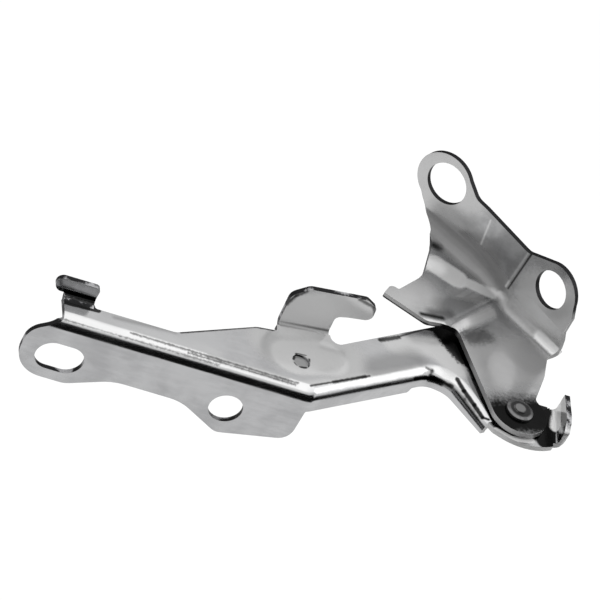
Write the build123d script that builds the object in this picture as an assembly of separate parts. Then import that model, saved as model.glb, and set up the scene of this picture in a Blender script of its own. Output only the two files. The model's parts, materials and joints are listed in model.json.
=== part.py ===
"""Hood hinge: two folded steel sheets that turn about one riveted pivot.

Frame, in millimetres: the origin is the centre of the round bolt hole, on the face of the body bracket that
bolts down. X runs along the bolt plate towards the pivot, Y points away from that face, and Z is the pivot's
axis, towards the rivet's formed head. The hood bracket is drawn in its closed place about the pivot, then
swung open by open_angle.
"""
import math
import os

from build123d import *

# Body bracket: sheet, bend and bolt plate
body_sheet = 2.0
web_level = 17.8            # outer face of the web above the bolt line
fold_radius = 3.0           # inside radius of the long fold
bolt_hole = 12.3
slot_length = 18.0
bolt_spacing = 64.0         # slot centre to hole centre
slot_rise = 0.5
plate_end = 79.5            # hole centre to the plate's far end
plate_toe = 9.9             # plate below the slot's centre line
plate_waist = 2.7           # plate below the bolt line between the holes
plate_heel = 11.6           # plate below the round hole
plate_corner = 26.8         # hole centre to the corner where the arm sets off
plate_corner_radius = 7.0

# Body bracket: arm, lip and gooseneck
arm_angle = 32.7
neck_x = 78.5               # where the gooseneck turns down to the pivot
neck_angle = 55.5
neck_radius = 9.0
lip_depth = 9.2
neck_lip_depth = 7.2
lip_taper = 1.7             # the lip gets this much shallower down the gooseneck
lip_step_x = 68.0
lip_end_x = 93.3
arm_width = 19.0            # across the arm, outer face of the lip to the far edge

# Body bracket: web's far edge and tabs
web_end = 69.5              # hole centre to the web's far end
web_width = 10.7
flare_start = 26.5          # where the web starts to widen
flare_end = 5.5
flare_width = 26.3
hook_left = 13.6
hook_stem = 20.7
hook_offset = 5.9           # arm's far edge at the throat to the hook's face
hook_turn = 7.0
hook_height = 18.4
hook_reach = 11.2           # beak beyond the stem
hook_gap = 8.6              # web to the underside of the beak
hook_fold_radius = 1.5
end_tab_width = 12.0
end_tab_fold_radius = 3.4
end_tab_height = 7.2
end_tab_lip = 5.6
end_tab_nub = 4.6
dimple_x = 21.9
dimple_y = 14.9
dimple_size = 6.8
dimple_depth = 0.9

# Pivot
pivot_x = 105.0
pivot_y = 19.0
rivet_size = 7.0
formed_head = 10.2
formed_head_height = 1.3
boss_size = 4.6
boss_height = 0.5
back_head = 14.0
back_head_height = 2.6
bush_wall = 1.0
washer_size = 17.0
washer_thickness = 1.0
running_fit = 0.04          # radial play of the bush on the rivet
end_play = 0.05

# Stop tab
lobe_radius = 21.0
lobe_low = 15.5             # pivot to the lowest corner of the lobe
stop_face = 16.0            # pivot to the inner face of the stop tab
stop_height = 8.3
stop_end = 13.2             # pivot to the far end of the stop tab
notch_rise = 10.4           # pivot to the notch beside the stop tab
stop_fold_radius = 2.0

# Hood bracket
hood_sheet = 2.0
open_angle = 43.8
ear_offset = 37.0           # pivot to the inner face of the ear plate
crease_radius = 3.0
cone_radius = 6.5           # inside radius of the wide end of the crease
cone_start = 41.0           # pivot to where the crease starts to open
cone_end = 60.0
facet_start = 38.0          # pivot to the tip of the sloped facet beside the crease
facet_full = 52.0
facet_reach = 21.0          # ear plate to the facet's lower line
facet_slope = 0.11
wing_rise = 2.6
joggle_start = 35.0
joggle_end = 43.0
leg_radius = 10.8
near_ear_x = 26.0
near_ear_z = 42.0
near_ear_radius = 10.7
near_ear_hole = 14.2
near_lobe_shift = 0.6       # lobe's centre off the hole's, towards the pivot
near_edge = 12.4            # pivot to the ear plate's near edge
near_fold = 39.3
near_slope = 0.13
far_ear_x = 80.2
far_ear_z = 44.2
far_ear_radius = 11.0
far_ear_hole = 15.9
far_lobe_shift = 1.2        # lobe's centre off the hole's, away from the pivot
far_foot = 75.4             # where the far edge leaves the cone
far_foot_z = 26.2
far_fold = 63.0
far_slope = 0.0875
valley_z = 46.0
wing_end = 62.2
nub_reach = 2.8

# Worked out from the sizes above
under_web = web_level - body_sheet
outer_fold = fold_radius + body_sheet
leg_under = web_level + washer_thickness + end_play
leg_top = leg_under + hood_sheet
throat_x = hook_left + hook_stem
far_line = arm_width / math.cos(math.radians(arm_angle))
throat_y = (throat_x - plate_corner) * math.tan(math.radians(arm_angle)) + far_line
hook_face = throat_y + hook_offset
far_reach = 140.0           # beyond every edge of the part, for cutting


def outline(corners):
    """Closed face from (x, y, corner radius) triples."""
    points = [(x, y) for x, y, _ in corners]
    radii = [r for _, _, r in corners]
    return make_face(FilletPolyline(points, radius=radii, close=True))


def upright(face):
    """Bar along Y with the given X-Z face."""
    return extrude(Plane.XZ * face, far_reach, both=True)


def standing(face, low=-far_reach, high=far_reach):
    """Bar along Z with the given X-Y face."""
    return extrude(Pos(0, 0, low) * face, high - low)


def folded_tab(fold_radius_in, sheet, run, height, width):
    """Sheet that runs along +Y at z = 0, then folds up with its inner face at y = 0."""
    outer = fold_radius_in + sheet
    sketch = make_face(
        [
            Line((-run, -sheet), (-fold_radius_in, -sheet)),
            RadiusArc((-fold_radius_in, -sheet), (sheet, fold_radius_in), -outer),
            Line((sheet, fold_radius_in), (sheet, height)),
            Line((sheet, height), (0, height)),
            Line((0, height), (0, fold_radius_in)),
            RadiusArc((0, fold_radius_in), (-fold_radius_in, 0), fold_radius_in),
            Line((-fold_radius_in, 0), (-run, 0)),
            Line((-run, 0), (-run, -sheet)),
        ]
    )
    return extrude(Plane.YZ * sketch, width / 2, both=True)


def neck_point(along):
    """Point on the outer face of the gooseneck's descent, as far as along from the turn."""
    rise = (neck_x - plate_corner) * math.tan(math.radians(arm_angle))
    fall = math.radians(neck_angle)
    return (neck_x + along * math.cos(fall), rise - along * math.sin(fall))


def sheet_side(inset):
    """Plan of all that lies behind the outer face of the plate, lip and gooseneck, drawn in by inset."""
    turn = neck_point(0)
    end = neck_point(far_reach / 2)
    plan = outline(
        [
            (-far_reach, 0, 0),
            (plate_corner, 0, plate_corner_radius),
            (turn[0], turn[1], neck_radius),
            (end[0], end[1], 0),
            (end[0], far_reach, 0),
            (-far_reach, far_reach, 0),
        ]
    )
    return offset(plan, amount=-inset, kind=Kind.INTERSECTION) if inset else plan


def rounded_block(inset):
    """Solid behind the outer face, with its long top edge rounded, drawn in by inset."""
    top = web_level - inset
    block = standing(sheet_side(inset), -far_reach / 2, top)
    turn_y = neck_point(0)[1]
    rim = [
        edge
        for edge in block.edges().filter_by_position(Axis.Z, top - 0.01, top + 0.01)
        if edge.center().Y < turn_y and -far_reach + 1 + inset < edge.center().X < far_reach
    ]
    return fillet(rim, outer_fold - inset)


def web_outline():
    """Plan of the web, with room outside the fold so that only its free edges are cut."""
    lip_end = neck_point((lip_end_x - neck_x) / math.cos(math.radians(neck_angle)))
    fall = math.radians(neck_angle)
    across = (math.sin(fall), math.cos(fall))
    low = pivot_y - lobe_low
    bottom_x = pivot_x + 4.3
    stop_outer = pivot_x + stop_face + body_sheet
    stop_root = pivot_x + stop_face - stop_fold_radius
    stop_low = low + (stop_outer - bottom_x) * math.tan(math.radians(32.0))
    beyond_stop = pivot_y + stop_end + 2
    notch_y = pivot_y + notch_rise
    notch_x = pivot_x + 8.2
    arm_slope = math.tan(math.radians(arm_angle))
    rise = (notch_x - throat_x) * arm_slope + throat_y - notch_y
    crest = rise / (math.sin(fall) + math.cos(fall) * arm_slope)
    crest_x = notch_x - crest * math.cos(fall)
    crest_y = notch_y + crest * math.sin(fall)
    return outline(
        [
            (-plate_end - 5, -5, 0),
            (plate_corner + 5, -5, 0),
            (lip_end[0] - 12 * across[0], lip_end[1] - 12 * across[1], 0),
            (lip_end[0] + 0.9 * across[0], lip_end[1] + 0.9 * across[1], 0),
            (lip_end[0] + 3.0, lip_end[1] - 2.0, 1.0),
            (bottom_x, low, lobe_radius),
            (stop_outer, stop_low, 0),
            (stop_outer, beyond_stop, 0),
            (stop_root, beyond_stop, 0),
            (stop_root, notch_y, 0),
            (notch_x, notch_y, 2.4),
            (crest_x, crest_y, 14.0),
            (throat_x, throat_y, 3.0),
            (throat_x, hook_face, 0),
            (hook_left, hook_face - 2.5, 0),
            (hook_left - 0.2, flare_width + 1.2, 0.8),
            (-flare_end + 11, flare_width, 6.0),
            (-flare_start, web_width, 6.0),
            (-web_end + end_tab_width, web_width, 1.0),
            (-web_end + end_tab_width, web_width + 1.5, 0),
            (-web_end, web_width + 1.5, 0),
            (-web_end, body_sheet + 1, 0),
            (-plate_end - 5, body_sheet + 1, 0),
        ]
    )


def front_outline():
    """Front view of the bolt plate and the lip below the fold, with room above it."""
    left = -plate_end
    lip_low = web_level - lip_depth
    neck_low = web_level - neck_lip_depth
    high = far_reach / 2
    return outline(
        [
            (-web_end, high, 0),
            (-web_end, web_level - 1.5, 2.0),
            (left, 9.0, 8.0),
            (left + 1.2, -plate_toe, 12.0),
            (-bolt_spacing + 6.5, -plate_toe, 9.0),
            (-bolt_spacing + 22, -plate_waist, 20.0),
            (-16.0, -plate_waist, 18.0),
            (1.0, -plate_heel, 5.0),
            (plate_corner, 6.4 - plate_heel, 6.0),
            (plate_corner, lip_low, 0.6),
            (lip_step_x, lip_low, 0.8),
            (lip_step_x + 0.6, neck_low, 0.8),
            (neck_x, neck_low, 0),
            (lip_end_x, neck_low + lip_taper, 0),
            (far_reach, neck_low + lip_taper, 0),
            (far_reach, high, 0),
        ]
    )


def hook_tab():
    """Hook that stands up from the web, turned a little from the plate's line."""
    stem_left = -hook_stem / 2
    stem_right = hook_stem / 2
    beak = stem_right + hook_reach
    tab = folded_tab(hook_fold_radius, body_sheet, 6.0, hook_height, 2 * (beak + 4))
    front = outline(
        [
            (stem_left + 1.5, -10, 0),
            (stem_left - 0.6, hook_height - 5.0, 4.0),
            (stem_left + 5.2, hook_height - 0.5, 4.0),
            (beak - 4.5, hook_height - 0.1, 3.0),
            (beak, hook_height - 3.0, 2.0),
            (beak + 0.8, hook_gap + 0.6, 2.6),
            (stem_right + 3, hook_gap, 12.0),
            (stem_right - 1.3, hook_gap - 0.8, 2.0),
            (stem_right, -10, 0),
        ]
    )
    middle = hook_left + hook_stem / 2
    return Pos(middle, hook_face, web_level) * Rot(0, 0, hook_turn) * (tab & upright(front))


def end_tab():
    """Small tab that curls up at the web's far end, with a nub beside it."""
    middle = -web_end + end_tab_width / 2
    tab = folded_tab(end_tab_fold_radius, body_sheet, 5.0, end_tab_height, 3 * end_tab_width)
    half = end_tab_width / 2
    lip_low = end_tab_height - end_tab_lip
    front = outline(
        [
            (-half, -10, 0),
            (-half, lip_low, 0.8),
            (-half - end_tab_nub, lip_low, 2.6),
            (-half - end_tab_nub, end_tab_height, 2.6),
            (half - 0.6, end_tab_height, 1.8),
            (half - 0.6, lip_low - 1, 0),
            (half - 0.6, -10, 0),
        ]
    )
    wall = web_width - 1.1 + end_tab_fold_radius
    return Pos(middle, wall, web_level) * (tab & upright(front))


def stop_tab():
    """Tab that stands up beside the pivot and stops the opening hood."""
    low = pivot_y - lobe_low
    notch = pivot_y + notch_rise
    high = pivot_y + stop_end
    tab = folded_tab(stop_fold_radius, body_sheet, 4.0, stop_height, 2 * (high - low))
    side = outline(
        [
            (low + 7.6, -body_sheet - 1, 0),
            (low + 8.2, stop_height - 3.0, 2.5),
            (low + 13.0, stop_height, 6.0),
            (high, stop_height, 1.2),
            (high - 0.4, stop_height - 5.0, 3.0),
            (notch, stop_fold_radius - 1.6, 0),
            (notch, -body_sheet - 1, 0),
        ]
    )
    shaped = (Rot(0, 0, -90) * tab) & extrude(Plane.YZ * side, far_reach, both=True)
    return Pos(pivot_x + stop_face, 0, web_level) * shaped


def body_bracket():
    """The body bracket: one folded sheet with its tabs, holes and dimple."""
    strip = rounded_block(0) - rounded_block(body_sheet)
    along = (lip_end_x - neck_x) / math.cos(math.radians(neck_angle))
    lip_end = neck_point(along)
    beyond = Pos(lip_end[0], lip_end[1], 0) * Rot(0, 0, -neck_angle) * Pos(far_reach / 2, 0, 0)
    strip -= beyond * Box(far_reach, far_reach, far_reach)
    inner = offset(sheet_side(0), amount=-outer_fold, kind=Kind.INTERSECTION)
    plate = standing(inner, under_web, web_level)
    lobe_width = 2 * (stop_face - stop_fold_radius)
    lobe = beyond * Rectangle(far_reach, far_reach) & Pos(pivot_x, pivot_y) * Rectangle(lobe_width, far_reach)
    plate += standing(lobe, under_web, web_level)
    sheet = (strip + plate) & upright(front_outline())
    sheet += stop_tab()
    sheet &= standing(web_outline())
    sheet += hook_tab() + end_tab()
    for hole in (
        Pos(0, 0, 0) * Circle(bolt_hole / 2),
        Pos(-bolt_spacing, slot_rise, 0) * SlotOverall(slot_length, bolt_hole),
    ):
        sheet -= extrude(Plane.XZ * hole, 3 * body_sheet, both=True)
    sheet -= Pos(pivot_x, pivot_y, web_level) * Cylinder(rivet_size / 2, 6 * body_sheet)
    dimple = Pos(dimple_x, dimple_y, web_level - dimple_depth / 2)
    sheet += Pos(0, 0, -body_sheet) * dimple * Cylinder(dimple_size / 2 - 0.3, dimple_depth)
    sheet -= dimple * Cylinder(dimple_size / 2, dimple_depth)
    return sheet


def smooth_step(value, start, end):
    """0 at start, 1 at end, with level ends."""
    share = min(1.0, max(0.0, (value - start) / (end - start)))
    return share * share * (3 - 2 * share)


def hood_section(u):
    """Section of the hood bracket's sheet across the crease, at u along it from the pivot."""
    share = min(1.0, max(0.0, (-u - cone_start) / (cone_end - cone_start)))
    radius = crease_radius + (cone_radius - crease_radius) * share
    level = leg_top + wing_rise * smooth_step(-u, joggle_start, joggle_end)
    opened = smooth_step(-u, facet_start, facet_full)
    tilt = math.atan(facet_slope * opened)
    run = max(radius + 0.3, facet_reach * opened)
    corner = level + run * math.tan(tilt)
    half_turn = (math.pi / 2 - tilt) / 2
    tangent = radius * math.tan(half_turn)
    far_lean = far_slope * max(0.0, -u - far_fold)
    near_lean = near_slope * max(0.0, u + near_fold)
    knee = max(33.0, corner + tangent + 0.5)
    top = far_ear_z + 2 * far_ear_radius
    wall = ear_offset - far_lean
    tip = wall - near_lean
    end = -2 * leg_radius
    middle = (wall - radius, corner + tangent)
    outer = radius + hood_sheet
    under = level - hood_sheet
    under_break = wall - run + hood_sheet * math.tan(tilt / 2)

    def at(v, z):
        return Vector(u, v, z)

    def round_at(reach, turn):
        """Point on the bend: turn 0 is the ear plate's end, growing towards the leg."""
        return at(middle[0] + reach * math.cos(turn), middle[1] - reach * math.sin(turn))

    edges = [
        Edge.make_line(at(tip, top), at(tip, knee)),
        Edge.make_line(at(tip, knee), round_at(radius, 0)),
        Edge.make_three_point_arc(*(round_at(radius, half_turn * k) for k in range(3))),
        Edge.make_line(round_at(radius, 2 * half_turn), at(wall - run, level)),
        Edge.make_line(at(wall - run, level), at(end, level)),
        Edge.make_line(at(end, level), at(end, under)),
        Edge.make_line(at(end, under), at(under_break, under)),
        Edge.make_line(at(under_break, under), round_at(outer, 2 * half_turn)),
        Edge.make_three_point_arc(*(round_at(outer, half_turn * (2 - k)) for k in range(3))),
        Edge.make_line(round_at(outer, 0), at(tip + hood_sheet, knee)),
        Edge.make_line(at(tip + hood_sheet, knee), at(tip + hood_sheet, top)),
        Edge.make_line(at(tip + hood_sheet, top), at(tip, top)),
    ]
    return Face(Wire(edges))


def ear_outline():
    """Front view of the ear plate, along the pivot's axis and the crease."""
    far_x = -far_ear_x - far_lobe_shift
    near_x = -near_ear_x + near_lobe_shift
    far = Pos(far_x, far_ear_z) * Circle(far_ear_radius)
    near = Pos(near_x, near_ear_z) * Circle(near_ear_radius)

    def rim(x, z, radius, angle):
        turn = math.radians(angle)
        return (x + radius * math.cos(turn), z + radius * math.sin(turn), 0)

    body = outline(
        [
            (-far_foot + 6.4, 0, 0),
            (-far_foot + 6.4, far_foot_z - 4.6, 0),
            (-far_foot, far_foot_z, 1.0),
            (-far_ear_x - 0.8, far_ear_z - 15.2, 6.0),
            (-far_ear_x - 5.0, far_ear_z - 11.4, 10.0),
            rim(far_x, far_ear_z, far_ear_radius, 205),
            (far_x, far_ear_z, 0),
            rim(far_x, far_ear_z, far_ear_radius, 42),
            (-far_ear_x + 12.4, valley_z + 1.4, 5.0),
            (-near_ear_x - 15.0, valley_z - 0.3, 5.0),
            rim(near_x, near_ear_z, near_ear_radius, 120),
            (near_x, near_ear_z, 0),
            rim(near_x, near_ear_z, near_ear_radius, 30),
            (-near_edge, near_ear_z - 4.0, 12.0),
            (-near_edge, leg_top + 2.0, 0),
            (2 * leg_radius, leg_top + 2.0, 0),
            (2 * leg_radius, 0, 0),
        ]
    )
    return body + far + near


def leg_outline():
    """Plan of the pivot leg and its wing, about the pivot, with the ear plate along +Y."""
    front = math.radians(150.4)
    touch_x = -leg_radius * math.sin(front)
    touch_y = leg_radius * math.cos(front)
    crest = 37.2
    bump_x = touch_x + crest * math.cos(front)
    bump_y = touch_y + crest * math.sin(front)
    body = outline(
        [
            (0, 0, 0),
            (touch_x, touch_y, 0),
            (bump_x, bump_y, 3.0),
            (bump_x - 8.3, bump_y - 11.2, 3.0),
            (-wing_end - 1.2, -7.2, 0.6),
            (-wing_end - nub_reach, -1.0, 2.2),
            (-wing_end + 0.3, -0.3, 1.0),
            (-wing_end, 15.0, 16.0),
            (-far_foot + 4.6, ear_offset - 7.6, 10.0),
            (-far_foot - 0.3, ear_offset - 4.3, 0),
            (-far_ear_x - 20.0, ear_offset - 4.3, 0),
            (-far_ear_x - 20.0, ear_offset + 10, 0),
            (-near_edge + 4.0, ear_offset + 10, 0),
            (-near_edge + 0.4, ear_offset + 1.0, 3.0),
            (-near_edge - 1.4, ear_offset - 3.0, 4.0),
            (-7.1, 24.0, 20.0),
            (-0.7, leg_radius - 0.2, 0),
        ]
    )
    leg = body + Circle(leg_radius)
    crook = leg.vertices().sort_by_distance((-0.7, leg_radius, 0))[0]
    return fillet(crook, 2.5)


def hood_bracket():
    """The hood bracket: one folded sheet with a crease that opens into a cone, and two ears."""
    joggle = [-joggle_end + k * (joggle_end - joggle_start) / 4 for k in range(5)]
    stations = [-far_ear_x - 2 * far_ear_radius, -cone_end, -far_fold, -near_fold, -cone_start]
    stations += joggle + [-facet_start - k * (facet_full - facet_start) / 6 for k in range(7)]
    stations += [2 * leg_radius]
    sheet = loft([hood_section(u) for u in sorted(set(stations))], ruled=True)
    sheet &= upright(ear_outline())
    sheet &= standing(leg_outline())
    sheet -= Cylinder(rivet_size / 2 + running_fit + bush_wall, far_reach)
    for x, z, size, slope in (
        (-near_ear_x, near_ear_z, near_ear_hole, -near_slope),
        (-far_ear_x, far_ear_z, far_ear_hole, far_slope),
    ):
        lean = math.degrees(math.atan(slope))
        tool = Pos(x, ear_offset, z) * Rot(0, 0, lean) * Rot(90, 0, 0) * Cylinder(size / 2, 12 * hood_sheet)
        sheet -= tool
    return sheet


def swing_open(shape):
    """Carry a hood-side shape from its closed place about the pivot to the open one."""
    return Pos(pivot_x, pivot_y, 0) * Rot(0, 0, -open_angle) * shape


def pivot_rivet():
    """Rivet with a large head behind the web and a small formed head over the leg."""
    back = under_web - back_head_height
    front = leg_top + end_play
    r_shank = rivet_size / 2
    r_head = formed_head / 2
    r_back = back_head / 2
    top = front + formed_head_height
    half = make_face(
        FilletPolyline(
            (0, back), (r_back, back), (r_back, under_web), (r_shank, under_web), (r_shank, front),
            (r_head, front), (r_head, top - 0.4), (r_head - 1.2, top), (boss_size / 2, top),
            (boss_size / 2, top + boss_height), (0, top + boss_height),
            radius=[0, 0.8, 0, 0, 0, 0, 0.3, 0.4, 0.2, 0.2, 0], close=True,
        )
    )
    return Pos(pivot_x, pivot_y, 0) * revolve(Plane.XZ * half, Axis.Z)


def ring(inner, outer, low, high):
    """Plain ring about the pivot."""
    profile = Circle(outer) - Circle(inner)
    return Pos(pivot_x, pivot_y, 0) * standing(profile, low, high)


bore = rivet_size / 2 + running_fit
pieces = {
    "body_bracket": body_bracket(),
    "hood_bracket": swing_open(hood_bracket()),
    "pivot_rivet": pivot_rivet(),
    "pivot_bush": ring(bore, bore + bush_wall, leg_under, leg_top),
    "thrust_washer": ring(bore, washer_size / 2, web_level, web_level + washer_thickness),
}

os.makedirs("parts", exist_ok=True)
for name, shape in pieces.items():
    export_step(shape, f"parts/{name}.step")
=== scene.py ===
"""Hood hinge, dressed for the render: bright zinc plate on folded steel, in a plain white studio.

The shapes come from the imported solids. Each sheet is shown by a merged copy of its solid whose sheared edges
are broken, because a sharp edge catches no light, and the pivot's small parts keep their solids.
"""

import json
import logging
import math
from dataclasses import dataclass, field
from enum import Enum
from typing import Any, Optional, Sequence, Union

import bmesh
import bpy
from mathutils import Matrix, Vector
from mathutils.bvhtree import BVHTree

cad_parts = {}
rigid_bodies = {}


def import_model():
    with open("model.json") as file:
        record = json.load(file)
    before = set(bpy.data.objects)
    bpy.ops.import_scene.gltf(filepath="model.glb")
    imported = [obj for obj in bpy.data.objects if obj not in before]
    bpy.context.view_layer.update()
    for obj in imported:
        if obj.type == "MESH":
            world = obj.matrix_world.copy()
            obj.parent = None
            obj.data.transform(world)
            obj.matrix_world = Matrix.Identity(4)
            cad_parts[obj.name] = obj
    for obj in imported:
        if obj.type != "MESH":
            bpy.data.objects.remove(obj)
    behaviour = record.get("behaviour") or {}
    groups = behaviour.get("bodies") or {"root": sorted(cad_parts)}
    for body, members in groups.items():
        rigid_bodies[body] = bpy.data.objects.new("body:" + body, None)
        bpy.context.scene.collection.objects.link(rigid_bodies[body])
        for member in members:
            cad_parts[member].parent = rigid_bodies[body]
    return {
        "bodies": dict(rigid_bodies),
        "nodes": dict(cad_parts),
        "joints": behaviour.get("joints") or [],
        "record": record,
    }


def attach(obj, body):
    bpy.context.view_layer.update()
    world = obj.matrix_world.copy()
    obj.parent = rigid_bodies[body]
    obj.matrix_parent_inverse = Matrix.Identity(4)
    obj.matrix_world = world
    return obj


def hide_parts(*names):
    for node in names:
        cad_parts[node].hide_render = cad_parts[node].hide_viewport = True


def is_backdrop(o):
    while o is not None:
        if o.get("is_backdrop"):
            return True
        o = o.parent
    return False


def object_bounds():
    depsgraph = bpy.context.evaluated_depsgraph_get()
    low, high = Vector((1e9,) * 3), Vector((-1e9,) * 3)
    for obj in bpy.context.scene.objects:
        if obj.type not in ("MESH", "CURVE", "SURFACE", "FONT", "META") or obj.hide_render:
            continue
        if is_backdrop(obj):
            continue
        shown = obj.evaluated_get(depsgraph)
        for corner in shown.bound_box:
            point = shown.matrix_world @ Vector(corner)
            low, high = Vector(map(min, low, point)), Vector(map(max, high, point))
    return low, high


log = logging.getLogger("hood_hinge")

MM = 0.001
PHOTO_PIXELS = 600

Number = Union[int, float]
Colour = tuple[float, float, float]
Point = tuple[float, float, float]


class Side(Enum):
    """The hinge's two bodies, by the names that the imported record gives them."""

    BODY = "body_side"
    HOOD = "hood_side"


class Term:
    """A shader socket that Python's arithmetic works on: each operator adds one Math node."""

    def __init__(self, tree: bpy.types.NodeTree, socket: bpy.types.NodeSocket) -> None:
        """Wraps an output socket.

        Args:
            tree: The node tree that the socket is in.
            socket: The output that this term stands for.
        """
        self.tree = tree
        self.socket = socket

    def _math(self, operation: str, *values: Union["Term", Number]) -> "Term":
        """Adds a Math node.

        Args:
            operation: The Math node's operation.
            values: Its inputs, in order.

        Returns:
            The node's result.
        """
        node = self.tree.nodes.new("ShaderNodeMath")
        node.operation = operation
        for slot, value in zip(node.inputs, values):
            feed(slot, value)
        return Term(self.tree, node.outputs[0])

    def __add__(self, other: Union["Term", Number]) -> "Term":
        """This term plus another."""
        return self._math("ADD", self, other)

    def __radd__(self, other: Number) -> "Term":
        """A number plus this term."""
        return self._math("ADD", other, self)

    def __sub__(self, other: Union["Term", Number]) -> "Term":
        """This term less another."""
        return self._math("SUBTRACT", self, other)

    def __rsub__(self, other: Number) -> "Term":
        """A number less this term."""
        return self._math("SUBTRACT", other, self)

    def __mul__(self, other: Union["Term", Number]) -> "Term":
        """This term times another."""
        return self._math("MULTIPLY", self, other)

    def __rmul__(self, other: Number) -> "Term":
        """A number times this term."""
        return self._math("MULTIPLY", other, self)

    def __truediv__(self, other: Union["Term", Number]) -> "Term":
        """This term over another."""
        return self._math("DIVIDE", self, other)

    def __rtruediv__(self, other: Number) -> "Term":
        """A number over this term."""
        return self._math("DIVIDE", other, self)

    def clamped(self) -> "Term":
        """This term, held between 0 and 1."""
        return self._math("MINIMUM", self._math("MAXIMUM", self, 0.0), 1.0)

    def greater(self, other: Union["Term", Number]) -> "Term":
        """The larger of this term and another."""
        return self._math("MAXIMUM", self, other)


def feed(slot: bpy.types.NodeSocket, value: Any) -> None:
    """Links a term to a node's input, or sets a plain value on it.

    Args:
        slot: The input.
        value: The term or value.
    """
    if isinstance(value, Term):
        value.tree.links.new(value.socket, slot)
    else:
        slot.default_value = value


class Shader:
    """The node tree of one material or world, and the one way that nodes are added to it."""

    def __init__(self, tree: bpy.types.NodeTree) -> None:
        """Starts from an empty tree.

        Args:
            tree: The tree to clear and fill.
        """
        self.tree = tree
        tree.nodes.clear()

    def node(self, kind: str, settings: Optional[dict[str, Any]] = None, **inputs: Any) -> bpy.types.Node:
        """Adds a node.

        Args:
            kind: The node's type, without its ShaderNode prefix.
            settings: Properties of the node, set before its inputs.
            inputs: Values or terms for its inputs, by name with underscores for spaces, or by place as in_0.

        Returns:
            The new node.
        """
        node = self.tree.nodes.new("ShaderNode" + kind)
        for name, value in (settings or {}).items():
            setattr(node, name, value)
        for name, value in inputs.items():
            key = int(name.removeprefix("in_")) if name.startswith("in_") else name.replace("_", " ")
            feed(node.inputs[key], value)
        return node

    def term(self, node: bpy.types.Node, output: Union[str, int] = 0) -> Term:
        """One output of a node, ready for arithmetic."""
        return Term(self.tree, node.outputs[output])

    def place(self, stretch: float = 1.0) -> Term:
        """Object coordinates, scaled along X to draw a pattern out along the strip.

        Args:
            stretch: Factor on X: the smaller it is, the longer the pattern.

        Returns:
            The coordinates.
        """
        source = self.node("TexCoord")
        return self.term(self.node("Mapping", Vector=self.term(source, "Object"), Scale=(stretch, 1.0, 1.0)))

    def noise(self, vector: Term, scale: float, detail: float, roughness: float) -> Term:
        """Smooth noise from 0 to 1, around 0.5.

        Args:
            vector: Where it is read.
            scale: Lumps to the metre.
            detail: Octaves.
            roughness: How strongly the fine octaves show.

        Returns:
            The noise.
        """
        made = self.node("TexNoise", Vector=vector, Scale=scale, Detail=detail, Roughness=roughness)
        return self.term(made)

    def band(self, value: Term, low: float, high: float) -> Term:
        """0 below low, 1 above high, smooth between."""
        smooth = {"interpolation_type": "SMOOTHSTEP"}
        return self.term(self.node("MapRange", smooth, Value=value, From_Min=low, From_Max=high))

    def vector(self, operation: str, *values: Any) -> Term:
        """Adds a Vector Math node.

        Args:
            operation: The node's operation.
            values: Its inputs, in order: terms or vectors, and for SCALE the factor last.

        Returns:
            Its vector, or its number for the operations that give one.
        """
        made = self.node("VectorMath", {"operation": operation})
        slots = [made.inputs[0], made.inputs["Scale"]] if operation == "SCALE" else list(made.inputs)
        for slot, value in zip(slots, values):
            feed(slot, value)
        return self.term(made, "Value" if operation in ("LENGTH", "DOT_PRODUCT") else "Vector")

    def colours(
        self, factor: Union[Term, Number], first: Union[Term, Colour], second: Union[Term, Colour]
    ) -> Term:
        """Two colours mixed.

        Args:
            factor: Share of the second.
            first: A colour or a term.
            second: A colour or a term.

        Returns:
            The mixed colour.
        """
        made = self.node("Mix", {"data_type": "RGBA"}, in_0=factor)
        slots = [slot for slot in made.inputs if slot.type == "RGBA"]
        for slot, value in zip(slots, (first, second)):
            feed(slot, value if isinstance(value, Term) else (*value, 1.0))
        return Term(self.tree, next(slot for slot in made.outputs if slot.type == "RGBA"))

    def metal(
        self,
        colour: Term,
        roughness: Term,
        height: Term,
        relief: float,
        depth: float,
        bare: Union[Term, Number] = 1.0,
    ) -> None:
        """Ends the tree in a metal surface.

        Args:
            colour: Its colour.
            roughness: Its roughness.
            height: The height that its bump follows.
            relief: Strength of the bump.
            depth: How far a height of 1 stands out, in metres.
            bare: How much of it is bare metal, where a dry film covers the rest.
        """
        bump = self.node("Bump", Strength=relief, Distance=depth, Height=height)
        surface = self.node(
            "BsdfPrincipled", Base_Color=colour, Metallic=bare, Roughness=roughness, Normal=self.term(bump)
        )
        self.node("OutputMaterial", Surface=self.term(surface))


def new_material(name: str) -> tuple[bpy.types.Material, Shader]:
    """Makes a material with nothing in its tree.

    Args:
        name: Its name.

    Returns:
        The material and its tree.
    """
    made = bpy.data.materials.new(name)
    made.use_nodes = True
    return made, Shader(made.node_tree)


def placed(name: str, data: bpy.types.ID) -> bpy.types.Object:
    """Puts a mesh, camera or lamp in the scene.

    Args:
        name: Name of its object.
        data: The mesh, camera or lamp.

    Returns:
        The object, at the origin.
    """
    made = bpy.data.objects.new(name, data)
    bpy.context.scene.collection.objects.link(made)
    return made


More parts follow.
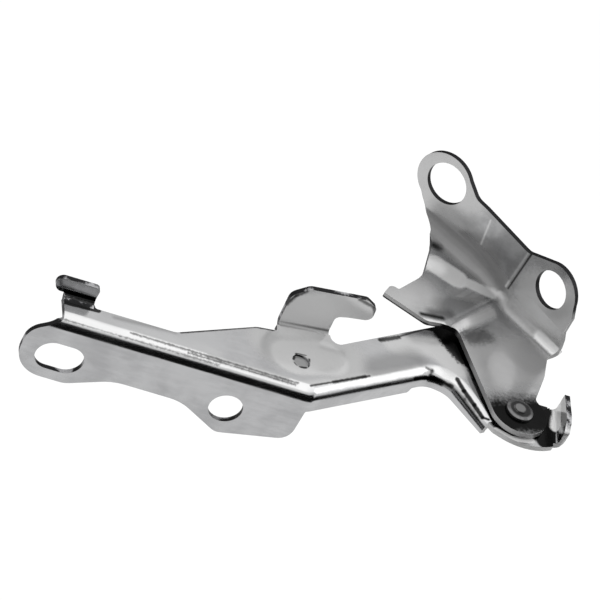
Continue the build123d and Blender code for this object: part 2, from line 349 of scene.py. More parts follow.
@dataclass(frozen=True)
class ShadeAndLightMark:
    """A painted mark, mostly of shade or light, with soft, ragged borders about the line between two points,
    in millimetres.

    Fade is the width of its border, strength how well it covers, ragged how far the border strays, and tone
    its grey, from 0 to 1. Chalk is how much of it is a dull, dry film instead of bare metal.
    """

    start: Point
    end: Point
    radius: float
    fade: float = 2.0
    strength: float = 1.0
    ragged: float = 2.0
    tone: float = 0.004
    chalk: float = 0.0

    def mask(self, shader: Shader, spot: Term, rough: Term) -> Term:
        """How strongly the mark shows.

        Args:
            shader: Where the nodes go.
            spot: Object coordinates.
            rough: Noise that makes the border ragged.

        Returns:
            0 outside the mark, up to its strength inside.
        """
        first, second = Vector(self.start) * MM, Vector(self.end) * MM
        run = second - first
        nearest = shader.vector("SUBTRACT", spot, first)
        if run.length > 0:
            along = (shader.vector("DOT_PRODUCT", nearest, run) / run.length_squared).clamped()
            nearest = shader.vector("SUBTRACT", nearest, shader.vector("SCALE", run, along))
        away = shader.vector("LENGTH", nearest) / MM + (rough - 0.5) * 2.0 * self.ragged
        outside = shader.band(away, self.radius - self.fade / 2, self.radius + self.fade / 2)
        return (1.0 - outside) * self.strength


def trail(points: Sequence[Point], radius: float, *look: float) -> tuple[ShadeAndLightMark, ...]:
    """A mark along a chain of points.

    Args:
        points: The chain, in millimetres.
        radius: Half the mark's width.
        look: Fade, strength, ragged, tone and chalk, as a painted mark takes them.

    Returns:
        One smudge for each link.
    """
    return tuple(ShadeAndLightMark(start, end, radius, *look) for start, end in zip(points, points[1:]))


def painted_over(
    shader: Shader, colour: Term, painted_marks: Sequence[ShadeAndLightMark], spot: Term, rough: Term
) -> tuple[Term, Union[Term, Number]]:
    """Lays painted marks of shade and light over a colour, each over the one before.

    Args:
        shader: Where the nodes go.
        colour: The colour without marks.
        painted_marks: The marks, from the lowest to the topmost.
        spot: Object coordinates.
        rough: Noise that makes their borders ragged.

    Returns:
        The colour with the marks, and how much of the surface is bare metal.
    """
    dry: Union[Term, Number] = 0.0
    for painted_mark in painted_marks:
        mask = painted_mark.mask(shader, spot, rough)
        colour = shader.colours(mask, colour, (painted_mark.tone,) * 3)
        if painted_mark.chalk:
            dry = (mask * painted_mark.chalk).greater(dry)
    return colour, (1.0 - dry).clamped() if isinstance(dry, Term) else 1.0


@dataclass(frozen=True)
class ZincPlate:
    """Bright zinc over pressed steel: cloudy, a little drawn out along the strip, with fine rubbing marks.

    The fields that end in lumps give a pattern's fineness, in lumps to the metre, and those that end in
    stretch how it is drawn out along the strip.
    """

    name: str
    light: Colour = (0.47, 0.472, 0.478)
    dull: Colour = (0.36, 0.362, 0.368)
    roughness: float = 0.13
    dull_roughness: float = 0.10
    rub_roughness: float = 0.05
    cloud_lumps: float = 50.0
    cloud_strength: float = 0.7
    cloud_range: tuple[float, float] = (0.38, 0.66)
    drawn_lumps: float = 420.0
    drawn_stretch: float = 0.25
    drawn_share: float = 0.3
    rub_lumps: float = 1900.0
    rub_stretch: float = 0.06
    speck_lumps: float = 900.0
    speck_share: float = 0.6
    wave_lumps: float = 48.0
    wave_height: float = 6.0
    rub_height: float = 0.06
    relief: float = 0.3
    relief_depth: float = 0.2 * MM
    # Painted shade and light laid over the plate's colour
    painted_marks: tuple[ShadeAndLightMark, ...] = ()

    def material(self) -> bpy.types.Material:
        """Builds the finish.

        Returns:
            The material.
        """
        made, shader = new_material(self.name)
        spot = shader.place()
        along_drawn, along_rub = shader.place(self.drawn_stretch), shader.place(self.rub_stretch)
        clouds = shader.noise(spot, self.cloud_lumps, detail=4.0, roughness=0.55)
        drawn = shader.noise(along_drawn, self.drawn_lumps, detail=3.0, roughness=0.6)
        rubbed = shader.noise(along_rub, self.rub_lumps, detail=2.0, roughness=0.6)
        specks = shader.noise(spot, self.speck_lumps, detail=4.0, roughness=0.65)
        waves = shader.noise(spot, self.wave_lumps, detail=2.0, roughness=0.4)
        mottled = clouds * (1.0 - self.drawn_share) + drawn * self.drawn_share
        dull = shader.band(mottled, *self.cloud_range) * self.cloud_strength
        ragged = clouds * (1.0 - self.speck_share) + specks * self.speck_share
        plain = shader.colours(dull, self.light, self.dull)
        colour, bare = painted_over(shader, plain, self.painted_marks, spot, ragged)
        rough = self.roughness + dull * self.dull_roughness + rubbed * self.rub_roughness
        height = waves * self.wave_height + rubbed * self.rub_height
        shader.metal(colour, rough, height, self.relief, self.relief_depth, bare)
        return made


@dataclass(frozen=True)
class ShearedEdge:
    """The cut edge of a sheet: dark torn steel with brighter burnished patches."""

    name: str
    torn: Colour = (0.02, 0.02, 0.021)
    burnished: Colour = (0.42, 0.42, 0.43)
    share: float = 0.5
    share_spread: float = 0.64
    patch_start: float = 0.95
    patch_fade: float = 0.12
    patch_lumps: float = 130.0
    grain_lumps: float = 1500.0
    grain_share: float = 0.25
    roughness: float = 0.42
    grain_roughness: float = 0.2
    relief: float = 0.4
    relief_depth: float = 0.2 * MM
    # Painted light laid over the cut edge's colour
    painted_marks: tuple[ShadeAndLightMark, ...] = ()

    def material(self) -> bpy.types.Material:
        """Builds the finish.

        Returns:
            The material.
        """
        made, shader = new_material(self.name)
        spot = shader.place()
        patches = shader.noise(spot, self.patch_lumps, detail=2.0, roughness=0.5)
        grain = shader.noise(spot, self.grain_lumps, detail=3.0, roughness=0.6)
        start = self.patch_start - self.share_spread * self.share
        bright = shader.band(patches + grain * self.grain_share, start, start + self.patch_fade)
        plain = shader.colours(bright, self.torn, self.burnished)
        colour, bare = painted_over(shader, plain, self.painted_marks, spot, patches)
        rough = self.roughness + grain * self.grain_roughness
        shader.metal(colour, rough, grain, self.relief, self.relief_depth, bare)
        return made


@dataclass(frozen=True)
class PlainMetal:
    """The metal of a small turned part, slightly uneven in tone."""

    name: str
    colour: Colour
    roughness: float = 0.3
    uneven_share: float = 0.6
    uneven_lumps: float = 600.0
    uneven_range: tuple[float, float] = (0.4, 0.7)
    uneven_roughness: float = 0.15
    relief: float = 0.3
    relief_depth: float = 0.1 * MM
    # Painted shade laid over the part's colour
    painted_marks: tuple[ShadeAndLightMark, ...] = ()

    def material(self) -> bpy.types.Material:
        """Builds the finish.

        Returns:
            The material.
        """
        made, shader = new_material(self.name)
        spot = shader.place()
        clouds = shader.noise(spot, self.uneven_lumps, detail=3.0, roughness=0.6)
        darker = tuple(level * self.uneven_share for level in self.colour)
        plain = shader.colours(shader.band(clouds, *self.uneven_range), self.colour, darker)
        colour, bare = painted_over(shader, plain, self.painted_marks, spot, clouds)
        rough = self.roughness + clouds * self.uneven_roughness
        shader.metal(colour, rough, clouds, self.relief, self.relief_depth, bare)
        return made


def dress(piece: bpy.types.Object, *finishes: Union[ZincPlate, ShearedEdge, PlainMetal]) -> None:
    """Gives a piece its finishes, one for each material index, in place of whatever it had.

    Args:
        piece: The piece.
        finishes: What it is made of.
    """
    kept = [face.material_index for face in piece.data.polygons]
    piece.data.materials.clear()
    for finish in finishes:
        piece.data.materials.append(finish.material())
    piece.data.polygons.foreach_set("material_index", [min(index, len(finishes) - 1) for index in kept])


@dataclass
class FoldedSheet:
    """One of the hinge's two folded sheets, shown by a merged copy of its solid with broken edges.

    Lengths are in metres and angles in degrees. A face is a cut one where more than cut_depth thicknesses of
    metal lie behind it, at its middle or at a place that is probe_share of the way to one of its corners.
    """

    node: str
    slot: str
    side: Side
    finish: ZincPlate
    cut: ShearedEdge
    thickness: float = 2.0 * MM
    cut_depth: float = 1.08
    probe_share: float = 0.6
    probe_inset: float = 0.002 * MM
    merge_distance: float = 0.001 * MM
    flat_angle: float = 0.2
    edge_width: float = 0.25 * MM
    edge_segments: int = 2
    edge_angle: float = 40.0
    normal_weight: int = 80

    def cut_faces(self, work: bmesh.types.BMesh) -> list[bmesh.types.BMFace]:
        """Finds the cut faces.

        Args:
            work: The sheet's mesh.

        Returns:
            The faces with more metal behind them than the sheet is thick.
        """
        tree = BVHTree.FromBMesh(work)
        found = []
        for face in work.faces:
            centre = face.calc_center_median()
            starts = [centre] + [centre.lerp(vert.co, self.probe_share) for vert in face.verts]
            inset = face.normal * self.probe_inset
            depths = [tree.ray_cast(start - inset, -face.normal)[3] for start in starts]
            if max(depth or 0.0 for depth in depths) > self.thickness * self.cut_depth:
                found.append(face)
        return found

    def merged(self, node: bpy.types.Object) -> bpy.types.Object:
        """Copies the solid as one closed mesh, without the needless edges of its flat faces.

        Args:
            node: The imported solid.

        Returns:
            The copy, whose cut faces have the second material.
        """
        mesh = bpy.data.meshes.new(node.name + "_merged")
        work = bmesh.new()
        work.from_mesh(node.data)
        bmesh.ops.remove_doubles(work, verts=work.verts, dist=self.merge_distance)
        for face in work.faces:
            face.smooth = True
            face.material_index = 0
        for face in self.cut_faces(work):
            face.material_index = 1
        bmesh.ops.dissolve_limit(
            work,
            angle_limit=math.radians(self.flat_angle),
            verts=work.verts,
            edges=work.edges,
            delimit={"MATERIAL"},
        )
        work.to_mesh(mesh)
        work.free()
        for _ in (self.finish, self.cut):
            mesh.materials.append(None)
        return placed(mesh.name, mesh)

    def broken(self, rough: bpy.types.Object, name: str) -> bpy.types.Object:
        """Breaks the edges of the merged copy, which is used up.

        Args:
            rough: The merged copy.
            name: Name of the piece.

        Returns:
            The piece, a plain mesh.
        """
        bevel = rough.modifiers.new("broken_edge", "BEVEL")
        bevel.width = self.edge_width
        bevel.segments = self.edge_segments
        bevel.limit_method = "ANGLE"
        bevel.angle_limit = math.radians(self.edge_angle)
        bevel.use_clamp_overlap = True
        bevel.material = 1
        weighted = rough.modifiers.new("weighted", "WEIGHTED_NORMAL")
        weighted.keep_sharp = True
        weighted.weight = self.normal_weight
        graph = bpy.context.evaluated_depsgraph_get()
        final = bpy.data.meshes.new_from_object(rough.evaluated_get(graph))
        final.name = name
        bpy.data.objects.remove(rough)
        return placed(name, final)

    def build(self, frame: dict[str, Any]) -> bpy.types.Object:
        """Makes the sheet's piece, stands it in for its solid and dresses it.


        Returns:
            The piece.
        """
        node = frame["nodes"][self.node]
        piece = self.broken(self.merged(node), self.node + "_sheet")
        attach(piece, self.side.value)
        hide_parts(node.name)
        dress(piece, self.finish, self.cut)
        return piece


# The numbers after a mark's points are its radius, fade, strength, ragged, tone and chalk, as far as given.
# Painted shade and light on the body bracket's plating
BODY_PAINTED_SHADE_AND_LIGHT = (
    # Painted highlight along the fold, from the slot to the end of the gooseneck
    *trail(
        ((-70.0, 2.6, 17.0), (22.0, 2.6, 17.0), (50.0, 19.0, 17.0), (68.0, 29.5, 17.0), (76.0, 32.0, 17.0)),
        1.9, 2.2, 0.75, 0.5, 0.6,
    ),
    *trail(((76.0, 32.0, 17.0), (83.0, 30.0, 17.0), (92.5, 15.0, 17.0)), 1.9, 2.2, 0.75, 0.5, 0.6),
    # A lighter, dull film across the gooseneck, and painted shade where the arm nears it
    *trail(((60.0, 39.0, 17.8), (75.0, 43.5, 17.8), (83.0, 36.0, 17.8)), 5.0, 4.0, 0.9, 1.0, 0.55, 0.8),
    ShadeAndLightMark((50.0, 22.0, 17.8), (67.0, 34.0, 17.8), 5.0, 6.0, 0.5, 2.0, 0.16),
    # Painted black shade and reflection of the hood bracket, where the web runs in under it
    *trail(((72.8, 52.4, 17.8), (79.0, 53.5, 17.8)), 1.3, 0.8, 1.0, 0.6),
    *trail(((79.2, 52.7, 17.8), (87.0, 43.2, 17.8)), 5.0, 1.8, 1.0, 3.5),
    *trail(((88.0, 41.0, 17.8), (91.2, 34.5, 17.8)), 2.2, 1.8, 1.0, 2.5),
    # Lobe: painted black shade beside the stop tab, painted light on the tab, and a painted highlight along
    # the rim
    *trail(((116.4, 11.0, 14.0), (116.8, 17.5, 14.0), (115.4, 30.0, 14.0)), 5.6, 0.8, 1.0, 0.3),
    ShadeAndLightMark((120.8, 19.8, 18.8), (121.0, 28.0, 20.8), 2.6, 1.2, 0.95, 0.8, 0.9, 0.95),
    ShadeAndLightMark((121.0, 17.5, 24.0), (121.0, 27.0, 24.6), 2.2, 1.4, 0.85, 1.6, 0.42, 0.85),
    *trail(((97.0, 9.3, 17.8), (103.0, 7.4, 17.8), (110.5, 9.3, 17.8)), 1.4, 0.8, 0.95, 0.4, 0.7, 0.95),
    # Web above the slot: a painted lighter streak beside the fold and a painted darker one towards the free
    # edge
    ShadeAndLightMark((-66.0, 6.0, 17.8), (-12.0, 5.5, 17.8), 3.0, 5.0, 0.3, 2.0, 0.6),
    *trail(((-50.0, 9.0, 17.8), (-27.0, 10.8, 17.8)), 0.8, 2.4, 0.6, 0.8, 0.2),
    # Painted light, in dull films, on the web about the dimple and on the hook
    ShadeAndLightMark((14.0, 21.0, 17.8), (35.0, 24.0, 17.8), 12.0, 7.0, 0.85, 1.5, 0.46, 0.8),
    ShadeAndLightMark((18.5, 16.0, 17.8), (32.0, 20.5, 17.8), 8.3, 2.5, 0.8, 1.2, 0.6, 0.8),
    ShadeAndLightMark((17.0, 33.0, 24.0), (42.0, 37.0, 32.0), 10.0, 6.0, 0.9, 2.0, 0.62, 0.75),
    # Hook: painted shade along the crease at its foot, on its shoulder and on its beak
    ShadeAndLightMark((14.9, 31.3, 18.0), (33.6, 34.3, 18.4), 0.9, 0.9, 0.85, 0.3, 0.2),
    *trail(((13.2, 32.0, 27.0), (14.6, 32.6, 31.5), (17.5, 33.0, 34.3)), 0.9, 1.2, 0.9, 1.0),
    *trail(((37.5, 35.0, 35.8), (44.2, 35.7, 33.6), (45.8, 35.9, 30.5)), 0.6, 1.0, 0.8, 0.9),
    # Painted dark reflections, in thin lines, along the fold
    *trail(((25.0, 3.9, 17.6), (48.6, 18.3, 17.6)), 0.35, 0.7, 0.9, 0.4),
    *trail(((34.0, 9.3, 17.6), (47.0, 17.4, 17.6)), 0.6, 0.9, 0.9, 0.5),
    *trail(((-14.0, 3.4, 17.6), (16.0, 3.3, 17.5)), 1.1, 1.6, 0.75, 0.5, 0.25),
    *trail(((-44.0, 3.7, 17.6), (20.0, 3.4, 17.5)), 0.35, 0.8, 0.75, 1.2, 0.03),
    *trail(((-22.0, 2.7, 17.2), (19.0, 2.6, 17.1)), 0.3, 0.7, 0.75, 1.1, 0.03),
    *trail(((-70.0, 1.7, 16.5), (-10.0, 1.7, 16.6)), 0.3, 0.8, 0.7, 1.2, 0.03),
    # Dark lines along the free edge of web and arm
    *trail(((-24.6, 11.3, 17.8), (5.5, 26.1, 17.8)), 0.35, 0.7, 0.95, 0.4),
    *trail(((6.0, 26.4, 17.8), (11.8, 27.4, 17.8)), 0.8, 0.7, 0.95, 0.5),
    *trail(((54.0, 38.7, 17.8), (61.4, 43.0, 17.8)), 0.9, 1.0, 0.95, 0.9),
    *trail(((61.4, 43.3, 17.8), (72.0, 51.4, 17.8)), 0.4, 0.8, 0.9, 0.4),
    # Dimple: painted shade on a dull floor, and a broken ring of painted shade
    ShadeAndLightMark((22.3, 15.9, 17.0), (22.3, 15.9, 17.4), 2.7, 0.8, 0.85, 0.5, 0.3, 0.6),
    *trail(((19.4, 16.2, 16.9), (20.3, 18.2, 17.6)), 0.5, 0.5, 0.95, 0.5),
    *trail(((20.6, 18.6, 17.8), (24.0, 18.9, 17.8)), 0.25, 0.5, 0.85, 0.4),
    *trail(((25.2, 17.4, 17.8), (25.2, 14.6, 17.0)), 0.35, 0.5, 0.9, 0.5),
    *trail(((21.8, 12.8, 16.9), (24.3, 13.3, 16.9)), 0.55, 0.5, 0.95, 0.5),
    *trail(((19.6, 14.4, 16.9), (20.4, 13.3, 16.9)), 0.25, 0.5, 0.85, 0.4),
    # End tab: painted black shade at its foot and a painted dark line above it
    *trail(((-69.5, 10.0, 18.0), (-57.0, 10.7, 18.0)), 1.9, 0.6, 0.95, 0.7),
    *trail(((-69.5, 12.6, 19.4), (-57.0, 12.8, 19.6)), 1.2, 0.6, 0.97, 0.4),
    # Gooseneck: painted dark reflections of its rippled lip, in streaks
    *trail(
        ((83.4, 30.6, 17.4), (86.0, 26.0, 16.9), (89.6, 20.3, 16.8), (92.5, 15.4, 16.6)),
        0.75, 0.7, 0.97, 0.5,
    ),
    *trail(((92.5, 15.4, 16.6), (94.6, 14.4, 17.2)), 0.5, 0.6, 0.97, 0.3),
    *trail(
        ((68.0, 27.0, 15.1), (72.3, 29.5, 14.7), (75.6, 30.3, 14.8), (82.1, 28.5, 15.2)),
        0.8, 0.8, 0.97, 0.5,
    ),
    *trail(((71.7, 31.8, 17.3), (74.1, 31.8, 16.9), (73.9, 30.7, 15.8)), 0.45, 1.5, 0.9, 0.8),
    *trail(((82.3, 28.1, 15.2), (86.6, 23.0, 15.5), (91.3, 15.5, 15.1)), 0.6, 1.0, 0.7, 0.6, 0.05),
)
# Painted light on the cut edge of the lobe
LOBE_RIM_PAINTED_LIGHT = (ShadeAndLightMark((96.0, 8.0, 17.0), (121.0, 12.0, 17.0), 8.0, 3.0, 0.9, 2.0, 0.6),)


@dataclass
class BodyBracket(FoldedSheet):
    """The bracket that bolts to the body: bolt plate, web, arm and gooseneck, with its three tabs."""

    node: str = "body_bracket"
    slot: str = "body_plating"
    side: Side = Side.BODY
    finish: ZincPlate = ZincPlate("body_plating", painted_marks=BODY_PAINTED_SHADE_AND_LIGHT)
    cut: ShearedEdge = ShearedEdge("body_cut", painted_marks=LOBE_RIM_PAINTED_LIGHT)


# Painted shade and light on the hood bracket's plating
HOOD_PAINTED_SHADE_AND_LIGHT = (
    # Leg: a lighter, dull middle, and black about the pivot
    ShadeAndLightMark((93.0, 38.0, 20.85), (111.0, 48.0, 20.85), 13.0, 12.0, 0.75, 3.0, 0.42, 0.55),
    ShadeAndLightMark((99.7, 14.3, 20.85), (114.7, 20.8, 20.85), 9.0, 7.0, 1.0, 6.0, 0.003),
    # Joggle: painted shade in a dull film down its slope, a painted black patch beside it, and a painted light
    # streak along its bend
    ShadeAndLightMark((82.0, 52.0, 22.2), (96.5, 66.7, 22.2), 1.5, 1.8, 0.65, 0.8, 0.34, 0.75),
    ShadeAndLightMark((88.6, 50.3, 20.9), (94.5, 53.5, 20.9), 3.4, 4.5, 0.62, 6.0),
    ShadeAndLightMark((86.4, 55.5, 21.8), (97.5, 66.0, 21.9), 2.0, 2.5, 0.8, 1.0, 0.4, 0.7),
    # Wing and facet: painted light at the tip, painted shade towards the joggle, and a painted dark and a
    # painted light line at the edge
    ShadeAndLightMark((56.0, 56.0, 23.4), (69.0, 64.0, 23.4), 8.0, 11.0, 0.75, 2.0, 0.5, 0.6),
    ShadeAndLightMark((82.0, 68.3, 23.7), (91.5, 69.4, 23.7), 2.6, 4.0, 0.85, 3.0, 0.17, 0.85),
    ShadeAndLightMark((76.0, 60.0, 23.4), (88.0, 65.0, 23.4), 3.0, 5.0, 0.6, 2.0, 0.2, 0.3),
    ShadeAndLightMark((73.0, 54.2, 23.4), (79.0, 56.0, 23.4), 2.6, 4.0, 0.6, 1.5, 0.02),
    *trail(((68.3, 52.2, 23.4), (76.5, 53.2, 23.4)), 0.9, 1.6, 1.0, 0.5, 0.01),
    *trail(((66.5, 49.2, 23.4), (77.0, 50.5, 23.4)), 0.9, 1.2, 0.9, 0.8, 0.75, 0.85),
    # Ear plate: painted light on the far ear, painted shade below it
    ShadeAndLightMark((66.0, 104.5, 40.0), (76.0, 96.5, 50.0), 12.0, 8.0, 0.8, 2.0, 0.6, 0.7),
    ShadeAndLightMark((76.0, 96.5, 33.0), (94.0, 82.0, 33.0), 6.0, 7.0, 0.6, 3.0, 0.17),
    # Painted shade and light in dull films along the crest, from the wide cone to the tight end by the pivot
    *trail(
        ((73.2, 95.6, 27.2), (81.6, 90.2, 28.2), (91.5, 82.2, 28.4), (100.0, 75.2, 25.8)),
        5.0, 3.0, 0.95, 1.0, 0.2, 0.95,
    ),
    *trail(((103.0, 72.0, 23.8), (121.0, 54.8, 23.4)), 3.8, 3.0, 0.9, 1.0, 0.3, 0.92),
    *trail(((99.5, 74.0, 24.6), (121.0, 54.8, 23.3)), 1.0, 1.6, 0.8, 0.8, 0.6, 0.9),
    *trail(((115.0, 60.2, 22.8), (122.0, 53.6, 22.6)), 1.9, 1.6, 0.9, 0.8, 0.9, 0.95),
    *trail(((78.0, 89.0, 25.6), (90.4, 79.2, 25.5), (95.9, 75.6, 24.5)), 1.8, 2.6, 0.9, 0.8, 0.24, 0.95),
    # Cone: painted light patches on its lower side, and a painted black spot of shade at its far edge
    ShadeAndLightMark((75.0, 79.6, 24.2), (83.0, 75.2, 24.4), 4.4, 1.6, 0.95, 0.6, 0.52, 0.9),
    ShadeAndLightMark((73.0, 79.0, 24.2), (76.0, 78.5, 24.4), 3.0, 4.0, 0.9, 1.2, 0.75, 0.95),
    ShadeAndLightMark((83.0, 74.8, 24.4), (97.0, 73.4, 24.2), 2.3, 1.6, 0.9, 0.6, 0.5, 0.9),
    ShadeAndLightMark((75.0, 88.8, 25.2), (76.6, 88.0, 25.6), 1.6, 3.0, 0.95, 1.2),
    # Ear plate: painted light on the near ear, and painted shade and highlights along three press lines
    ShadeAndLightMark((109.0, 65.0, 34.0), (116.0, 56.0, 40.0), 12.0, 9.0, 0.75, 3.0, 0.6, 0.7),
    *trail(((101.8, 73.3, 46.6), (101.3, 73.8, 28.0)), 0.35, 0.5, 0.85, 0.3),
    *trail(((100.9, 74.1, 46.6), (100.4, 74.6, 28.0)), 0.4, 0.6, 0.6, 0.2, 0.8),
    *trail(((87.7, 86.9, 44.6), (88.8, 85.8, 34.0)), 0.35, 0.9, 0.5, 0.3, 0.7),
)
# Painted light on the cut edges of the leg, the near ear's foot and the wing
LEG_RIM_PAINTED_LIGHT = (
    ShadeAndLightMark((88.0, 50.0, 21.0), (96.0, 18.0, 20.0), 5.0, 3.0, 0.9, 2.0, 0.45),
    ShadeAndLightMark((96.0, 12.0, 20.0), (112.0, 9.0, 20.0), 4.0, 2.0, 0.9, 2.0, 0.5),
    ShadeAndLightMark((121.5, 54.0, 22.0), (119.5, 51.0, 38.0), 5.0, 3.0, 0.9, 1.0, 0.42),
    ShadeAndLightMark((53.5, 58.2, 23.1), (67.5, 50.8, 23.0), 1.0, 0.5, 0.95, 0.2, 0.45),
    ShadeAndLightMark((67.5, 50.8, 23.0), (77.0, 49.0, 22.8), 1.0, 0.5, 0.95, 0.2, 0.45),
)


@dataclass
class HoodBracket(FoldedSheet):
    """The bracket that bolts to the hood: pivot leg, joggled wing, cone and ear plate, its plating painted
    darker than the body's, as shade.
    """

    node: str = "hood_bracket"
    slot: str = "hood_plating"
    side: Side = Side.HOOD
    # Same zinc plate as the body's, painted darker as shade for the darker surroundings that it reflects
    finish: ZincPlate = ZincPlate(
        "hood_plating",
        light=(0.42, 0.422, 0.426),
        dull=(0.27, 0.271, 0.274),
        cloud_strength=0.75,
        painted_marks=HOOD_PAINTED_SHADE_AND_LIGHT,
    )
    cut: ShearedEdge = ShearedEdge("hood_cut", share=0.0, painted_marks=LEG_RIM_PAINTED_LIGHT)


@dataclass
class Pivot:
    """The rivet, its bush and the washer between the sheets.

    The rivet's head has a painted ring of shade with a lighter painted centre.
    """

    rivet: PlainMetal = PlainMetal(
        "rivet_steel",
        (0.16, 0.16, 0.162),
        0.34,
        # Painted shade in a ring on the head, and a lighter painted centre
        painted_marks=(
            ShadeAndLightMark((105.0, 19.0, 21.0), (105.0, 19.0, 24.0), 3.9, 0.8, 0.9, 0.7, 0.02),
            ShadeAndLightMark((104.6, 19.0, 21.0), (104.6, 19.0, 24.0), 2.1, 0.8, 0.9, 0.5, 0.2),
        ),
    )
    bush: PlainMetal = PlainMetal("bush_bronze", (0.55, 0.40, 0.24), 0.4)
    washer: PlainMetal = PlainMetal("washer_steel", (0.5, 0.5, 0.51), 0.35)

    def build(self, frame: dict[str, Any]) -> list[bpy.types.Object]:
        """Dresses the pivot's solids.


        Returns:
            The dressed nodes.
        """
        nodes = frame["nodes"]
        finishes = {"pivot_rivet": self.rivet, "pivot_bush": self.bush, "thrust_washer": self.washer}
        for name, finish in finishes.items():
            dress(nodes[name], finish)
        return [nodes[name] for name in finishes]


@dataclass
class PhotoCamera:
    """A long-lens camera on the photograph's side of the hinge, with its tilt.

    Angles are in degrees; lens, sensor and depth are in millimetres. The bolt hole's centre, which is the
    frame's origin, comes at hole_pixel. The clipping planes are at shares of the camera's distance.
    """

    azimuth: float = -23.9
    elevation: float = 36.95
    roll: float = 31.5
    lens: float = 1500.0
    sensor: float = 36.0
    millimetres_per_pixel: float = 0.35
    hole_pixel: tuple[float, float] = (225.7, 408.2)
    middle_depth: float = -22.0
    near_share: float = 0.2
    far_share: float = 3.0

    def axes(self) -> tuple[Vector, Vector, Vector]:
        """The camera's right, up and back directions in the hinge's frame.

        Returns:
            Three unit vectors.
        """
        turn, rise, tilt = (math.radians(angle) for angle in (self.azimuth, self.elevation, self.roll))
        back = Vector((math.sin(turn) * math.cos(rise), -math.cos(turn) * math.cos(rise), math.sin(rise)))
        level = Vector((0, 0, 1)).cross(back).normalized()
        right = level * math.cos(tilt) + back.cross(level) * math.sin(tilt)
        return right, back.cross(right), back

    def build(self) -> bpy.types.Object:
        """Makes the camera.

        Returns:
            The camera.
        """
        right, up, back = self.axes()
        step = self.millimetres_per_pixel * MM
        half = PHOTO_PIXELS / 2
        centre = (
            right * (half - self.hole_pixel[0]) * step
            + up * (self.hole_pixel[1] - half) * step
            + back * self.middle_depth * MM
        )
        data = bpy.data.cameras.new("photo_camera")
        data.lens = self.lens
        data.sensor_width = self.sensor
        distance = half * step / (self.sensor / 2 / self.lens)
        data.clip_start = distance * self.near_share
        data.clip_end = distance * self.far_share
        camera = placed("photo_camera", data)
        turn = Matrix((right, up, back)).transposed().to_4x4()
        camera.matrix_world = Matrix.Translation(centre + back * distance) @ turn
        bpy.context.scene.camera = camera
        return camera


@dataclass(frozen=True)
class SoftLamp:
    """A square lamp: the way to it from the hinge, its distance and side in metres, its power in watts."""

    name: str
    toward: Point
    distance: float
    size: float
    power: float

    def hang(self, centre: Vector) -> None:
        """Hangs the lamp so that it looks at the hinge.

        Args:
            centre: The middle of the hinge.
        """
        data = bpy.data.lights.new(self.name, "AREA")
        data.size = self.size
        data.energy = self.power
        lamp = placed(self.name, data)
        way = Vector(self.toward).normalized()
        lamp.location = centre + way * self.distance
        lamp.rotation_mode = "QUATERNION"
        lamp.rotation_quaternion = (-way).to_track_quat("-Z", "Y")


@dataclass(frozen=True)
class DarkPanel:
    """A stretch of the dark wall: its bearings and its bottom and top, in degrees, and how dark it is."""

    first: float
    last: float
    bottom: float
    top: float
    darkness: float = 1.0

    def column(self, fade: float) -> tuple[tuple[float, float], ...]:
        """One upright line of the panel, from the top down.

        Args:
            fade: How far it fades out beyond its top and bottom, in degrees.

        Returns:
            Angles above the level and how dark it is there.
        """
        return (
            (self.top + fade, 0.0),
            (self.top, self.darkness),
            (self.bottom, self.darkness),
            (self.bottom - fade, 0.0),
        )


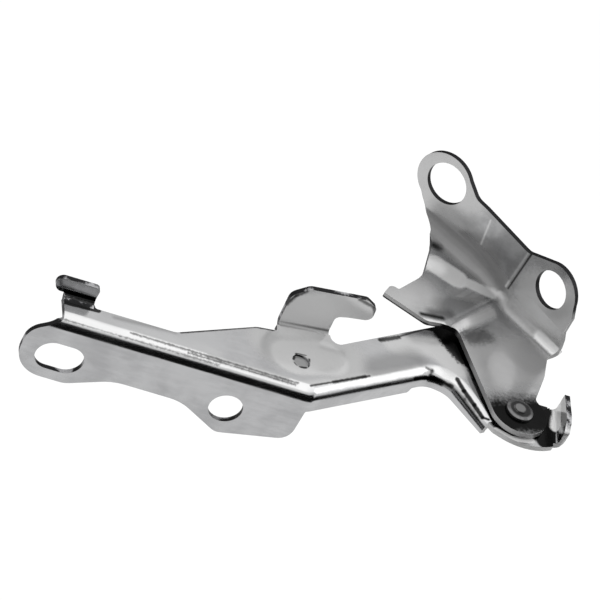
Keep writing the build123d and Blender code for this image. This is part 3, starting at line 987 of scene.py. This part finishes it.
@dataclass
class Studio:
    """Pale floor well under the hinge, white surroundings, soft lamps, and a wall that only gloss sees.

    Lengths are in metres, and the wall's fade and step in degrees. To the eye and to gloss, the floor is
    white by white_share, so that what is left of it still takes the hinge's shadow.
    """

    floor_drop: float = 300.0 * MM
    floor_half: float = 6.0
    floor_tone: float = 0.9
    white_share: float = 0.85
    white_strength: float = 1.08
    sky_for_light: float = 0.68
    lamps: tuple[SoftLamp, ...] = (
        SoftLamp("top", (0.05, -0.06, 1.0), distance=0.62, size=1.0, power=2.0),
        SoftLamp("side", (0.86, 0.08, 0.5), distance=0.7, size=0.45, power=1.0),
    )
    wall_radius: float = 0.5
    wall_tone: float = 0.008
    wall_fade: float = 4.0
    wall_step: float = 3.0
    panels: tuple[DarkPanel, ...] = (
        DarkPanel(258, 322, -27, 27),
        DarkPanel(322, 362, -16, 7),
        DarkPanel(2, 36, -18, 10, 0.6),
        DarkPanel(36, 112, -18, 20, 0.9),
        DarkPanel(112, 160, -18, 16, 0.5),
        DarkPanel(160, 198, -20, 18),
        DarkPanel(198, 258, -18, 18, 0.6),
    )
    centre: Vector = field(default_factory=lambda: Vector((0.04, 0.04, 0.02)))

    def floor(self, low: float) -> bpy.types.Object:
        """Lays the floor.

        Args:
            low: Height of the hinge's lowest point.

        Returns:
            The floor.
        """
        half = self.floor_half
        level = low - self.floor_drop
        rim = [(-half, -half, level), (half, -half, level), (half, half, level), (-half, half, level)]
        mesh = bpy.data.meshes.new("floor")
        mesh.from_pydata(rim, [], [(0, 1, 2, 3)])
        made, shader = new_material("floor")
        ray = shader.node("LightPath")
        seen = (shader.term(ray, "Is Camera Ray") + shader.term(ray, "Is Glossy Ray")).clamped()
        painted = shader.node("BsdfDiffuse", Color=(self.floor_tone,) * 3 + (1.0,))
        white = shader.node("Emission", Color=(1, 1, 1, 1), Strength=self.white_strength)
        mixed = shader.node(
            "MixShader", in_0=seen * self.white_share, in_1=shader.term(painted), in_2=shader.term(white)
        )
        shader.node("OutputMaterial", Surface=shader.term(mixed))
        mesh.materials.append(made)
        floor = placed("floor", mesh)
        floor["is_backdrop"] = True
        return floor

    def surroundings(self) -> None:
        """Makes the world white to look at and in reflections, and softer as a light."""
        world = bpy.data.worlds.new("white_studio")
        bpy.context.scene.world = world
        world.use_nodes = True
        shader = Shader(world.node_tree)
        ray = shader.node("LightPath")
        seen = (
            shader.term(ray, "Is Camera Ray")
            + shader.term(ray, "Is Glossy Ray")
            + shader.term(ray, "Is Transmission Ray")
        ).clamped()
        strength = self.sky_for_light + seen * (1.0 - self.sky_for_light)
        sky = shader.node("Background", Color=(1, 1, 1, 1), Strength=strength)
        shader.node("OutputWorld", Surface=shader.term(sky))

    def wall_mesh(self) -> bpy.types.Mesh:
        """Builds the dark wall's strips, with how dark they are as an attribute.

        Returns:
            The mesh.
        """
        points, shades, faces = [], [], []
        for panel in self.panels:
            column = panel.column(self.wall_fade)
            count = max(1, round((panel.last - panel.first) / self.wall_step))
            for index in range(count + 1):
                bearing = math.radians(panel.first + (panel.last - panel.first) * index / count)
                x = self.centre.x + self.wall_radius * math.cos(bearing)
                y = self.centre.y + self.wall_radius * math.sin(bearing)
                for angle, shade in column:
                    points.append((x, y, self.centre.z + self.wall_radius * math.tan(math.radians(angle))))
                    shades.append(shade)
                if index:
                    new = len(points) - len(column)
                    old = new - len(column)
                    faces += [(old + k, new + k, new + k + 1, old + k + 1) for k in range(len(column) - 1)]
        mesh = bpy.data.meshes.new("dark_wall")
        mesh.from_pydata(points, [], faces)
        mesh.attributes.new("darkness", "FLOAT", "POINT").data.foreach_set("value", shades)
        return mesh

    def wall(self) -> bpy.types.Object:
        """Stands the dark wall round the hinge, for its folds to reflect.

        Returns:
            The wall.
        """
        mesh = self.wall_mesh()
        made, shader = new_material("dark_wall")
        read = shader.node("Attribute", {"attribute_name": "darkness"})
        mixed = shader.node(
            "MixShader",
            in_0=shader.term(read, "Fac"),
            in_1=shader.term(shader.node("BsdfTransparent")),
            in_2=shader.term(shader.node("Emission", Color=(self.wall_tone,) * 3 + (1.0,), Strength=1.0)),
        )
        shader.node("OutputMaterial", Surface=shader.term(mixed))
        mesh.materials.append(made)
        wall = placed("dark_wall", mesh)
        wall.visible_camera = False
        wall.visible_diffuse = False
        wall.visible_shadow = False
        wall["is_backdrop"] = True
        return wall

    def build(self, low: float) -> None:
        """Sets the studio up.

        Args:
            low: Height of the hinge's lowest point.
        """
        self.floor(low)
        self.surroundings()
        for lamp in self.lamps:
            lamp.hang(self.centre)
        self.wall()


def main() -> None:
    """Builds the scene, piece by piece."""
    logging.basicConfig(level=logging.INFO, format="%(name)s: %(message)s")
    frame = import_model()
    cad_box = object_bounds()
    for sheet in (BodyBracket(), HoodBracket()):
        piece = sheet.build(frame)
        log.info("%s: %d faces", piece.name, len(piece.data.polygons))
    for node in Pivot().build(frame):
        log.info("%s dressed", node.name)
    PhotoCamera().build()
    Studio().build(cad_box[0].z)
    bpy.context.scene.view_settings.view_transform = "Standard"


if __name__ == "__main__":
    main()
